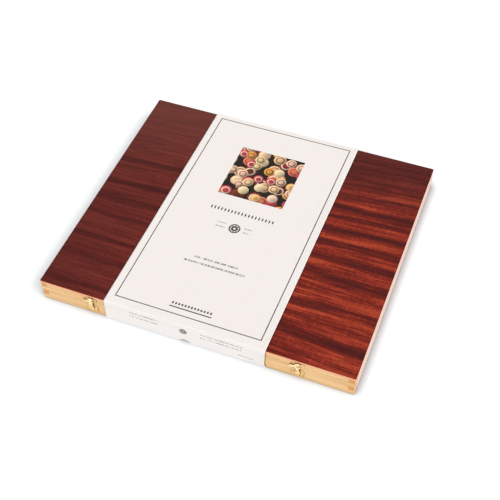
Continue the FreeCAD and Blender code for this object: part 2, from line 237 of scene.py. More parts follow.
veneer_low, veneer_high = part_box("lid_top_veneer")
ribbon_fan = 0.42               # how much the ribbons spread apart towards the right, per metre
ribbon_rise = 0.03
ribbon_wander = 7 * mm          # how far a ribbon leaves its line
wander_length = 170 * mm
wander_width = 70 * mm
ribbon_core = 0.25              # share of a ribbon's half width that is fully dark
right_ribbons = [               # place from the back edge, half width, darkness
    (18, 18, 0.6), (40, 14, 0.6), (62, 16, 0.65), (90, 8, 0.75), (115, 11, 1.0), (131, 6, 0.9),
    (156, 10, 1.0), (183, 8, 0.8), (206, 10, 0.85), (236, 12, 0.95), (261, 7, 0.3), (288, 10, 0.6),
    (313, 6, 0.5), (337, 12, 1.0), (363, 7, 0.45),
]
left_ribbons = [
    (28, 9, 0.3), (131, 8, 0.9), (177, 9, 0.9), (207, 9, 0.8), (237, 6, 0.6), (282, 7, 0.4),
    (316, 11, 0.6), (360, 6, 0.6),
]
ribbon_ends = [(150 * mm, right_ribbons), (-165 * mm, left_ribbons)]    # x where each list holds
rib_length = 140 * mm
rib_width = 7.5 * mm
fibre_length = 42 * mm
fibre_width = 1.5 * mm          # drawn coarser than real fibres, so that they show
pore_length = 2.6 * mm
pore_width = 0.28 * mm
mottle_length = 4.5 * mm        # short bright patches across the ribs
mottle_width = 7 * mm
base_tone = -0.3                # where the tone starts; each pattern adds a share of its own
rib_tone, fibre_tone, mottle_tone = 0.8, 0.76, 0.24
ribbon_tone = 0.34              # how much the darkest ribbon takes away
sanded_edge = 1.6 * mm
stained_edge = 1.1 * mm
veneer_corner_shade = 2.8 * mm


def mahogany():
    """Dark ribbons at chosen places near each end, which fan out to the right and wander by a slow
    noise; between them, ribs, fibres and pores are noises of (x / length, y / width)."""
    material, add = new_material("mahogany_veneer")
    where = add("TexCoord").outputs["Object"]
    spot = add("SeparateXYZ", [where])
    x, y = spot.outputs["X"], spot.outputs["Y"]

    def noise(vector, length, width, shift, detail):
        run = add("Mapping", {"Vector": vector, "Location": (shift, shift, 0),
                              "Scale": (1 / length, 1 / width, 1)})
        return add("TexNoise", {"Vector": run, "Scale": 1, "Detail": detail, "Roughness": 0.55},
                   noise_dimensions="2D")

    slow = noise(where, wander_length, wander_width, 2.3, 1)
    slope = add("Math", [y, ribbon_fan, ribbon_rise], operation="MULTIPLY_ADD")

    def followed(start):
        """The y that the ribbon through a point has at x = start."""
        run = add("Math", [x, start], operation="SUBTRACT")
        shift = add("Math", [slope, run], operation="MULTIPLY")
        straight = add("Math", [y, shift], operation="SUBTRACT")
        return add("Math", [slow, ribbon_wander, straight], operation="MULTIPLY_ADD")

    bent = add("CombineXYZ", [x, followed(ribbon_ends[0][0])])
    ribs = noise(bent, rib_length, rib_width, 7.0, 2)
    fibres = noise(bent, fibre_length, fibre_width, 11.0, 2)
    pores = noise(bent, pore_length, pore_width, 17.0, 1)
    mottle = noise(bent, mottle_length, mottle_width, 23.0, 1)

    tone = base_tone
    for pattern, much in ((ribs, rib_tone), (fibres, fibre_tone), (mottle, mottle_tone)):
        tone = add("Math", [pattern, much, tone], operation="MULTIPLY_ADD")
    for start, ribbons in ribbon_ends:
        across = followed(start)
        near = add("MapRange", [x, -start / 4, start / 4])
        for place_back, half, darkness in ribbons:
            level = veneer_high.y - place_back * mm + ribbon_wander / 2
            gap = add("Math", [across, level], operation="SUBTRACT")
            gap = add("Math", [gap], operation="ABSOLUTE")
            ribbon = add("MapRange", [gap, ribbon_core * half * mm, half * mm,
                                      ribbon_tone * darkness, 0], interpolation_type="SMOOTHSTEP")
            ribbon = add("Math", [ribbon, near], operation="MULTIPLY")
            tone = add("Math", [tone, ribbon], operation="SUBTRACT")

    shares = [add("MapRange", [axis, first, last], interpolation_type="SMOOTHSTEP")
              for axis, first, last in ((x, 0.9 * veneer_low.x, 0.55 * veneer_high.x),
                                        (y, 0.9 * veneer_high.y, 0.35 * veneer_high.y),
                                        (x, 0.9 * veneer_high.x, veneer_low.x),
                                        (y, 0.1 * veneer_high.y, 1.1 * veneer_high.y))]
    # The lively colours take over to the right and front, partly as figure and partly as painted sheen;
    # the second pair of shares paints a greyish reflection at the back left.
    glow = add("Math", shares[:2], operation="MULTIPLY")
    back_left_sheen = add("Math", shares[2:], operation="MULTIPLY")
    quiet = add("ValToRGB", [tone], [(0.15, "#421614"), (0.45, "#571f1b"), (0.75, "#6e2b25")])
    lively = add("ValToRGB", [tone], [(0.12, "#481817"), (0.34, "#5f1e18"), (0.52, "#7c261b"),
                                      (0.67, "#9e3826"), (0.85, "#ba4c2e")])
    pore_mask = add("MapRange", [pores, 0.6, 0.72, 0, 0.65])
    side = add("Math", [x], operation="ABSOLUTE")
    wood = quiet
    for mask, over in (
            (glow, lively),
            # A greyish veil at the back left: painted reflection of the bright surroundings.
            (add("Math", [back_left_sheen, 0.4], operation="MULTIPLY"), "#7c4a40"),
            (pore_mask, "#2c0f0c"),
            (add("MapRange", [y, veneer_low.y + sanded_edge, veneer_low.y, 0, 0.85]), "#7c3312"),
            (add("MapRange", [side, veneer_high.x - stained_edge, veneer_high.x, 0, 0.8]), "#260c09"),
            # Painted shade, near black, in the corners beside the sleeve and round the brass.
            (add("Math", [corner_shade_mask(add, veneer_corner_shade), 0.95], operation="MULTIPLY"), "#1f0a08")):
        wood = add("Mix", [mask, wood, over], data_type="RGBA")
    height = add("Math", [fibres, pore_mask], operation="SUBTRACT")
    surface(add, height, 0.4, 0.05 * mm, {"Base Color": wood, "Roughness": 0.5,
                                          "Specular IOR Level": 0.08})
    return material


dress(mahogany(), "lid_top_veneer")


# Foam trays
# Four trays of dark grey cross-linked foam, each cut with 25 round-bottomed pockets. The cut
# edges are soft, so every pocket has a small rounded lip.

tray_count = 4
stick_count = 25
pocket_lip = 0.8 * mm
pocket_gap = 0.25 * mm          # room between a stick and its pocket
wall_lean = 0.03 * mm           # keeps a pocket's wall a hair off upright
pocket_steps = 12
foam_cell = 0.5 * mm
foam_patch = 14 * mm


def grid_quads(rows, columns, closed=False):
    """Corner numbers of the quads of a grid whose points are counted row by row.

    When it is closed, its last column joins its first."""
    r = np.arange(rows - 1)[:, None]
    c = np.arange(columns if closed else columns - 1)[None, :]
    after = (c + 1) % columns
    corners = [r * columns + c, r * columns + after, (r + 1) * columns + after, (r + 1) * columns + c]
    return np.stack(corners, axis=-1).reshape(-1, 4)


def new_object(name, data):
    made = bpy.data.objects.new(name, data)
    bpy.context.scene.collection.objects.link(made)
    return made


def new_piece(name, points, quads, material, body, replaced, attributes=None):
    """Makes a closed mesh from arrays: welds equal points, turns the faces out and shades it smooth."""
    mesh = bpy.data.meshes.new(name)
    mesh.from_pydata(points.reshape(-1, 3).tolist(), [], quads.tolist())
    for key, values in (attributes or {}).items():
        if values.shape[-1] == 2:
            layer = mesh.uv_layers.new(name=key)
            layer.uv.foreach_set("vector", values.reshape(-1, 2)[quads.ravel()].ravel())
        else:
            layer = mesh.attributes.new(key, "FLOAT", "POINT")
            layer.data.foreach_set("value", values)
    weld = bmesh.new()
    weld.from_mesh(mesh)
    bmesh.ops.remove_doubles(weld, verts=weld.verts, dist=0.002 * mm)
    bmesh.ops.recalc_face_normals(weld, faces=weld.faces)
    weld.to_mesh(mesh)
    weld.free()
    mesh.shade_smooth()
    mesh.materials.append(material)
    piece = new_object(name, mesh)
    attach(piece, body)
    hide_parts(replaced)
    return piece


def slab(x, y, top, bottom):
    """Points and quads of a closed slab over the grid x by y, whose two sheets meet along the rim."""
    spread_x, spread_y = np.meshgrid(x, y)
    sheets = [np.stack([spread_x, spread_y, np.broadcast_to(z, spread_x.shape)], axis=-1)
              for z in (top, bottom)]
    quads = grid_quads(len(y), len(x))
    return np.stack(sheets), np.vstack([quads, quads[:, ::-1] + spread_x.size])


def foam(name, cell, cell_share, patch, detail, stops, strength, depth, sockets):
    """Foam: its cells are the relief and a share of the tone, over slow patches of colour."""
    material, add = new_material(name)
    where = add("TexCoord").outputs["Object"]
    cells = add("TexVoronoi", {"Vector": where, "Scale": 1 / cell})
    patches = add("TexNoise", {"Vector": where, "Scale": 1 / patch, "Detail": detail})
    tone = add("Math", [cells, cell_share, patches], operation="MULTIPLY_ADD")
    surface(add, cells, strength, depth, {"Base Color": add("ValToRGB", [tone], stops), **sockets})
    return material


def row_places(node):
    """Radius, half length and axis of a row of sticks, and the x of each."""
    low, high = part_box(node)
    radius = (high.z - low.z) / 2
    x = np.linspace(low.x + radius, high.x - radius, stick_count)
    return radius, (high.y - low.y) / 2, (high.y + low.y) / 2, (high.z + low.z) / 2, x


def foam_tray(row, material):
    """The height of the top is the tray's, less each pocket's half round, rounded at its lip."""
    low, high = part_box("pastel_tray_%d" % row)
    radius, half, middle_y, axis_z, stick_x = row_places("pastel_sticks_row_%d" % row)
    pocket, half_length = radius + pocket_gap, half + pocket_gap
    turn = np.linspace(0, math.pi, pocket_steps + 1)
    lip = np.linspace(0, math.pi / 2, 4)
    lip_out = pocket_lip * (1 - np.cos(lip))
    lip_drop = pocket_lip * (1 - np.sin(lip))
    offsets = np.concatenate([-pocket - lip_out[::-1], -(pocket - wall_lean) * np.cos(turn),
                              pocket + lip_out])
    depths = np.concatenate([lip_drop[::-1], high.z - axis_z + pocket * np.sin(turn), lip_drop])
    x = np.concatenate([[low.x, low.x], (stick_x[:, None] + offsets).ravel(), [high.x, high.x]])
    depth_x = np.concatenate([[0, 0], np.tile(depths, stick_count), [0, 0]])

    inner = np.linspace(-half_length + wall_lean, half_length - wall_lean, 5)
    y = np.concatenate([[low.y, low.y], middle_y - half_length - lip_out[::-1], middle_y + inner,
                        middle_y + half_length + lip_out, [high.y, high.y]])
    limit_y = np.concatenate([[0, 0], lip_drop[::-1], np.full(5, 1.0), lip_drop, [0, 0]])
    top = high.z - np.minimum(depth_x[None, :], limit_y[:, None])
    top[[0, -1], :] = low.z
    top[:, [0, -1]] = low.z
    points, quads = slab(x, y, top, low.z)
    return new_piece("foam_tray_%d" % row, points, quads, material, "base",
                     "pastel_tray_%d" % row)


# Dark foam with closed cells of half a millimetre, matt all over
dark_foam = foam("cross_linked_foam", foam_cell, 0.5, foam_patch, 3,
                 [(0.35, "#2b2b2d"), (0.7, "#3c3c3e"), (0.95, "#4b4a4b")], 0.6, 0.12 * mm,
                 {"Roughness": 0.9, "Specular IOR Level": 0.3})
for row in range(1, tray_count + 1):
    tray = foam_tray(row, dark_foam)


# Pastel sticks
# A hundred round soft pastels, pressed chalk and pigment, laid light to dark in each row. They
# are matt and powdery, with slightly uneven sides and soft, worn rims.

stick_sides = 28
stick_rings = 10
stick_rim = 0.9 * mm
stick_waver = 0.12 * mm
waver_length = 9 * mm
chalk_dust = 3 * mm
chalk_pit = 0.45 * mm
shade_rows = [
    [(0.0, "#f7f3e8"), (0.12, "#f3e3a9"), (0.25, "#f0cf4e"), (0.4, "#eba137"), (0.55, "#e0702f"),
     (0.7, "#cc4432"), (0.85, "#b02a3a"), (1.0, "#7d2234")],
    [(0.0, "#f6ded0"), (0.15, "#efc3a4"), (0.3, "#e09a73"), (0.45, "#c8754f"), (0.6, "#a9573b"),
     (0.75, "#8a4331"), (0.88, "#64342a"), (1.0, "#3f2723")],
    [(0.0, "#f1d3dc"), (0.15, "#e2a0b9"), (0.3, "#b878a8"), (0.45, "#8a6bab"), (0.6, "#5f69ac"),
     (0.75, "#3f76b0"), (0.88, "#2f5d8c"), (1.0, "#27395e")],
    [(0.0, "#dfe7b4"), (0.15, "#b3c878"), (0.3, "#7ba35a"), (0.45, "#4a8158"), (0.6, "#3c6b62"),
     (0.72, "#8f9a97"), (0.86, "#5f6364"), (1.0, "#2a2a2c")],
]


def pigment(add, row):
    """Each stick's own colour, which its shade number picks from the row's shades."""
    number = add("Attribute", attribute_name="shade")
    return add("ValToRGB", [number.outputs["Fac"]], shade_rows[row - 1])


def pressed_chalk(row):
    """Each stick's own pigment, with pale dust and fine pits."""
    material, add = new_material("soft_pastel_row_%d" % row)
    where = add("TexCoord").outputs["Object"]
    patches = add("TexNoise", {"Vector": where, "Scale": 1 / chalk_dust, "Detail": 6,
                               "Roughness": 0.7})
    dust = add("MapRange", [patches, 0.48, 0.75, 0, 0.4])
    chalk = add("Mix", [dust, pigment(add, row), "#f3eee6"], data_type="RGBA")
    pits = add("TexNoise", {"Vector": where, "Scale": 1 / chalk_pit, "Detail": 3})
    surface(add, pits, 0.6, 0.15 * mm, {"Base Color": chalk, "Roughness": 0.95,
                                        "Specular IOR Level": 0.2})
    return material


def row_piece(name, points, quads, material, replaced):
    """Makes a row of sticks or wrappers from all their points and the quads of the first.

    Every point carries its stick's shade number, from 0 to 1."""
    count = points[0].size // 3
    every = (quads + (np.arange(stick_count) * count)[:, None, None]).reshape(-1, 4)
    shade = np.repeat(np.linspace(0, 1, stick_count), count)
    new_piece(name, points, every, material, "base", replaced, {"shade": shade})


def stick_row(row):
    """Turned sticks along Y: the rim is a quarter round, and the side wavers by slow sines."""
    radius, half, middle_y, axis_z, x = row_places("pastel_sticks_row_%d" % row)
    quarter = np.linspace(0, math.pi / 2, 4)[1:]
    rim_in, rim_out = stick_rim * (1 - np.cos(quarter)), stick_rim * (1 - np.sin(quarter))
    body = np.linspace(-half + stick_rim, half - stick_rim, stick_rings)[1:-1]
    along = np.concatenate([[-half, -half], -half + rim_in, body, half - rim_in[::-1], [half, half]])
    size = np.concatenate([[0, radius - stick_rim], radius - rim_out, np.full(len(body), radius),
                           radius - rim_out[::-1], [radius - stick_rim, 0]])
    angle = np.linspace(0, 2 * math.pi, stick_sides, endpoint=False)
    phase = 2.4 * np.arange(stick_count)[:, None, None] + row
    waver = stick_waver * (0.5 + 0.25 * np.sin(3 * angle + 5 * phase)
                           + 0.25 * np.sin(along[:, None] / waver_length + phase))
    size = size[:, None] * (1 - waver / radius)
    points = np.stack(np.broadcast_arrays(
        x[:, None, None] + size * np.cos(angle), middle_y + along[:, None],
        axis_z + size * np.sin(angle)), axis=-1)
    row_piece("soft_pastels_%d" % row, points, grid_quads(len(along), stick_sides, closed=True),
              pressed_chalk(row), "pastel_sticks_row_%d" % row)


for row in range(1, tray_count + 1):
    stick_row(row)


# Paper wrappers
# Each stick is rolled in a band of thin cream paper, lapped and glued along one side, with plain
# printed rules near its ends. Pigment dust smudges the paper.

wrap_steps = 40
lap_turn = 0.7                  # radians of overlap
paper_thickness = 0.12 * mm
paper_fibre = 1.2 * mm
paper_smudge = 5 * mm
rules = [(2.5 * mm, 0.5 * mm), (4 * mm, 0.25 * mm)]     # place from the paper's end, width


def rolled_paper(row):
    """Cream paper with two rules near each end and smudges of the stick's own pigment."""
    material, add = new_material("wrapper_paper_row_%d" % row)
    where = add("TexCoord").outputs["Object"]
    low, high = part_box("pastel_wrappers_row_%d" % row)
    y = add("SeparateXYZ", [where]).outputs["Y"]
    end_gap = add("Math", [y, (low.y + high.y) / 2], operation="SUBTRACT")
    end_gap = add("Math", [end_gap], operation="ABSOLUTE")
    end_gap = add("Math", [(high.y - low.y) / 2, end_gap], operation="SUBTRACT")
    printed = largest(add, [add("Math", [end_gap, place, width / 2], operation="COMPARE")
                            for place, width in rules])
    fibres = add("TexNoise", {"Vector": where, "Scale": 1 / paper_fibre, "Detail": 4})
    cloud = add("TexNoise", {"Vector": where, "Scale": 1 / paper_smudge, "Detail": 5,
                             "Roughness": 0.65})
    smudge = add("MapRange", [cloud, 0.5, 0.8, 0, 0.45])
    paper = add("ValToRGB", [fibres], [(0.3, "#e8e0cf"), (0.7, "#f5f0e4")])
    paper = add("Mix", [printed, paper, "#6f665f"], data_type="RGBA")
    paper = add("Mix", [smudge, paper, pigment(add, row)], data_type="RGBA")
    surface(add, fibres, 0.3, 0.05 * mm, {"Base Color": paper, "Roughness": 0.7,
                                          "Specular IOR Level": 0.3})
    return material


def wrapper_row(row):
    """A spiral sheet: the radius climbs one paper thickness over the last part of the turn."""
    radius, half, middle_y, axis_z, x = row_places("pastel_wrappers_row_%d" % row)
    stick_radius = row_places("pastel_sticks_row_%d" % row)[0]
    turn = np.linspace(0, 2 * math.pi + lap_turn, wrap_steps)
    climb = np.clip((turn - 2 * math.pi + lap_turn) / lap_turn, 0, 1)
    sheet = stick_radius + paper_thickness * (0.1 + 1.15 * climb)
    start = 1.9 * np.arange(stick_count)[:, None, None] + row
    along = np.array([-half, -0.3 * half, 0.3 * half, half])
    layer = np.array([0, paper_thickness])[None, :, None, None]
    reach = np.minimum(sheet + layer, radius + paper_thickness)
    angle = (turn + start)[:, None]
    points = np.stack(np.broadcast_arrays(
        x[:, None, None, None] + reach * np.cos(angle), middle_y + along[:, None],
        axis_z + reach * np.sin(angle)), axis=-1)
    inner = grid_quads(len(along), wrap_steps)
    count = len(along) * wrap_steps
    numbers = np.arange(count).reshape(len(along), wrap_steps)
    rim = np.concatenate([numbers[0, :], numbers[1:, -1], numbers[-1, -2::-1], numbers[-2:0:-1, 0]])
    edge = np.stack([rim, np.roll(rim, -1), np.roll(rim, -1) + count, rim + count], axis=-1)
    row_piece("stick_wrappers_%d" % row, points, np.vstack([inner[:, ::-1], inner + count, edge]),
              rolled_paper(row), "pastel_wrappers_row_%d" % row)


for row in range(1, tray_count + 1):
    wrapper_row(row)


# Foam pad in the lid
# A sheet of soft white polyether foam, glued to the lid, holds the sticks down. Its cut edges
# round over, and the rows of sticks have pressed shallow grooves into it.

pad_edge = 5 * mm
pad_edge_steps = 9
pad_dent = 0.35 * mm
pad_cell = 0.9 * mm
pad_patch = 60 * mm
pad_rows = 90                   # rows of points between the rounded edges


def lid_pad(material):
    """The lower sheet rises at the rim as a quarter ellipse and is dented along each stick."""
    low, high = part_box("lid_foam_pad")
    rise = np.linspace(0, math.pi / 2, pad_edge_steps)
    inset = pad_edge * (1 - np.cos(rise))
    middle_y, _, stick_x = row_places("pastel_sticks_row_1")[2:]
    pitch = stick_x[1] - stick_x[0]
    tray_pitch = row_places("pastel_sticks_row_2")[2] - middle_y
    inner_x = np.arange(low.x + pad_edge + pitch / 8, high.x - pad_edge, pitch / 8)
    inner_y = np.linspace(low.y + pad_edge, high.y - pad_edge, pad_rows)[1:-1]
    x = np.concatenate([low.x + inset, inner_x, high.x - inset[::-1]])
    y = np.concatenate([low.y + inset, inner_y, high.y - inset[::-1]])
    spread_x, spread_y = np.meshgrid(x, y)

    def edge(place, first, last):
        share = np.clip(np.minimum(place - first, last - place) / pad_edge, 0, 1)
        return np.sqrt(1 - (1 - share) ** 2)

    groove = 0.5 + 0.5 * np.cos(2 * math.pi * (spread_x - stick_x[0]) / pitch)
    pressed = np.clip(0.5 + 1.5 * np.cos(2 * math.pi * (spread_y - middle_y) / tray_pitch), 0, 1)
    lowest = low.z + pad_dent * groove ** 2 * pressed
    lower = high.z - (high.z - lowest) * edge(spread_x, low.x, high.x) * edge(spread_y, low.y, high.y)
    points, quads = slab(x, y, high.z, lower)
    return new_piece("lid_pad", points, quads, material, "lid", "lid_foam_pad")


# White foam with open cells and a faint sheen, yellowed in patches
white_foam = foam("polyether_foam", pad_cell, 0.4, pad_patch, 4,
                  [(0.4, "#e6e2d6"), (0.7, "#ebe8de"), (0.95, "#e5e0d3")], 0.7, 0.3 * mm,
                  {"Roughness": 0.95, "Specular IOR Level": 0.2, "Sheen Weight": 0.2})
pad = lid_pad(white_foam)


# Brass hinges and latches
# Stamped sheet brass, tumbled bright and lacquered: two butt hinges screwed on the back, and two
# swing hooks on the front that turn on rivets and close round headed studs.

brass_patch = 3 * mm
brass_scratch = 7 * mm
brass_scratch_ratio = 30
brass_scratch_tilt = 0.5
brass_corner_shade = 2.2 * mm


def brass(name, pale, deep, roughness, wear_and_highlight="#f8e2b0"):
    """Polished brass: tarnish patches that also paint reflections, rubbed edges painted paler as wear
    and as painted highlight, painted shade in the hollows, and fine scratches as relief.
    """
    material, add = new_material(name)
    place = add("TexCoord")
    where = place.outputs["Object"]
    patches = add("TexNoise", {"Vector": where, "Scale": 1 / brass_patch, "Detail": 1})
    worn = add("Math", [edge_mask(add, place.outputs["Normal"]), 0.5], operation="MULTIPLY")
    # The patches swap between a pale and a deep colour; besides tarnish they paint the bright and dark
    # reflections of polished brass.
    metal = add("ValToRGB", [patches], [(0.36, deep), (0.62, pale)])
    # Rubbed edges are painted paler, partly as wear and partly as painted highlight; the hollows get
    # painted shade, a dark brown.
    for mask, over in ((worn, wear_and_highlight), (corner_shade_mask(add, brass_corner_shade), "#38200a")):
        metal = add("Mix", [mask, metal, over], data_type="RGBA")
    run = add("Mapping", {"Vector": where, "Scale": (1, brass_scratch_ratio, brass_scratch_ratio),
                          "Rotation": (0, brass_scratch_tilt, 0)})
    scratches = add("TexNoise", {"Vector": run, "Scale": 1 / brass_scratch, "Detail": 2})
    gloss = add("MapRange", [patches, 0.3, 0.7, roughness + 0.1, roughness])
    surface(add, scratches, 0.25, 0.03 * mm, {"Base Color": metal, "Metallic": 1, "Roughness": gloss})
    return material


hook_brass = brass("stamped_brass", "#ffecbe", "#dcab5e", 0.2, "#fff4d6")
plate_brass = brass("pressed_brass", "#f3cc8a", "#d09c56", 0.34)
nail_brass = brass("drawn_brass", "#ffe9b4", "#b07c38", 0.2)
hinge_brass = brass("rolled_brass", "#d9b273", "#b98c4c", 0.3)
for side in ("left", "right"):
    dress(hook_brass, "latch_%s_hook" % side)
    dress(plate_brass, "latch_%s_plate" % side, "latch_%s_keeper" % side)
    dress(nail_brass, "latch_%s_rivet" % side, "latch_%s_stud" % side, "hinge_%s_pin" % side)
    dress(hinge_brass, "hinge_%s_base_leaf" % side, "hinge_%s_lid_leaf" % side)
dress(nail_brass, "latch_plate_nails", "latch_keeper_nails", "hinge_base_screws",
      "hinge_lid_screws")


# Card sleeve
# A band of coated white board, creased and folded round the closed case, printed in grey. It
# is cut along the parting line here, so that the lid can open with its half on.

sleeve_skew = 3.6 * mm
board_thickness = 0.45 * mm
crease_radius = 0.55 * mm
seam = 0.02 * mm                # the two halves stop this far from the parting line
panel_bow = 0.3 * mm
ripple_across, ripple_along = 33 * mm, 47 * mm      # paces of the bow's slow sines
fine_ripple_across, fine_ripple_along = 12 * mm, 60 * mm
edge_lift = 0.6 * mm
edge_lift_reach = 14 * mm
edge_lift_pace = 31 * mm
front_lead = 0.5 * mm           # the left edge runs in a little towards the front
gape = 1.3 * mm                 # the front panel's right edge stands off the case
gape_reach = 9 * mm
slack = 0.6 * mm                # the band is narrower than its CAD solid
sway = 1.8 * mm                 # the front panel hangs askew, to the left near the table
flare = 2.4 * mm                # its right edge leans out near the table
flare_height = 8 * mm
flare_reach = 14 * mm
bend = 12 * mm                  # rows of points lie closer within this of a fold
edge_strip = 6 * mm             # and columns within this of the band's edges
notch_width = 16 * mm
notch_height = 5 * mm
notch_shift = 0.3 * mm
lap_shade_from = 850 * mm            # on the print map, the board's inner end lies from here on, painted grey as shade
lap_from = 1100 * mm            # the lap's place on that map is this plus its y
lap_thickness = 0.1 * mm
lap_radius = 0.4 * mm
lap_height = 9 * mm
lap_depth = 20 * mm

sleeve_low, sleeve_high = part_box("sleeve_upper")
sleeve_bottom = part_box("sleeve_lower")[0].z
sleeve_width = sleeve_high.x - sleeve_low.x - sleeve_skew
sleeve_out = sleeve_high.y
sleeve_top = sleeve_high.z
parting = (sleeve_low.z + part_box("sleeve_lower")[1].z) / 2
notch_middle = (sleeve_low.x + sleeve_high.x) / 2 + notch_shift
half_arc = crease_radius * math.pi / 4                          # half of a fold's quarter round
fold_to_fold = 2 * (sleeve_out - crease_radius + half_arc)      # between the folds' middles

# Print on the sleeve, in millimetres from its left edge and from its back fold
ink = "#352c29"
small_ink_share = 0.72     # the small lines are printed in a lighter tint
border_side, border_back, border_front = 10.5, 7.7, 12.9
border_width = 1.35        # drawn a little heavy, as fine lines would vanish
picture_size, picture_middle = 96.0, 101.3
picture_ground = "#140b05"
tablet_cell = 26.0         # of the round tablets in the picture; the next three are shares of it
tablet_radius, tablet_ring, tablet_ring_half = 0.41, 0.25, 0.045
tablet_gaps = 0.2          # share of the cells that stay empty
tablet_layers = [          # size, shift, colours
    (1.0, (3.0, 8.0, 0), [(0.0, "#8c2230"), (0.3, "#c8703f"), (0.55, "#6d2a1c"), (0.8, "#dc9480")]),
    (0.86, (51.0, 20.0, 0), [(0.0, "#eaa957"), (0.25, "#c8434b"), (0.5, "#f3c898"),
                             (0.75, "#e2805f")]),
    (0.72, (17.0, 77.0, 0), [(0.0, "#f7dca8"), (0.3, "#eca74f"), (0.55, "#f6cfb0"),
                             (0.8, "#c43c46")]),
]
tablet_rings = [(0.0, "#f3e4c8"), (0.4, "#a83c3a"), (0.75, "#7c3b22")]
lozenge_rows = [           # place, length, height, pitch, half width over pitch
    (177.0, 95.0, 8.0, 5.0, 0.26), (347.6, 58.0, 4.8, 4.4, 0.38),
]
seals = [(205.0, 8.0), (390.3, 5.0)]    # place, radius
underline = (0, 353.4, 58.0, 1.7)       # as a small line
small_lines = [            # middle across, place, length, height
    (-20.0, 200.4, 14.0, 1.4), (-20.0, 207.5, 14.0, 1.4), (18.5, 200.4, 11.0, 1.4),
    (18.5, 207.5, 11.0, 1.4), (0.0, 268.0, 64.0, 3.0), (0.0, 277.0, 87.0, 3.0),
    (-54.7, 384.9, 42.0, 1.6), (-54.7, 392.1, 42.0, 1.6), (51.8, 385.4, 57.0, 1.6),
    (51.8, 392.1, 57.0, 1.6), (86.3, 403.4, 22.0, 1.6),
]


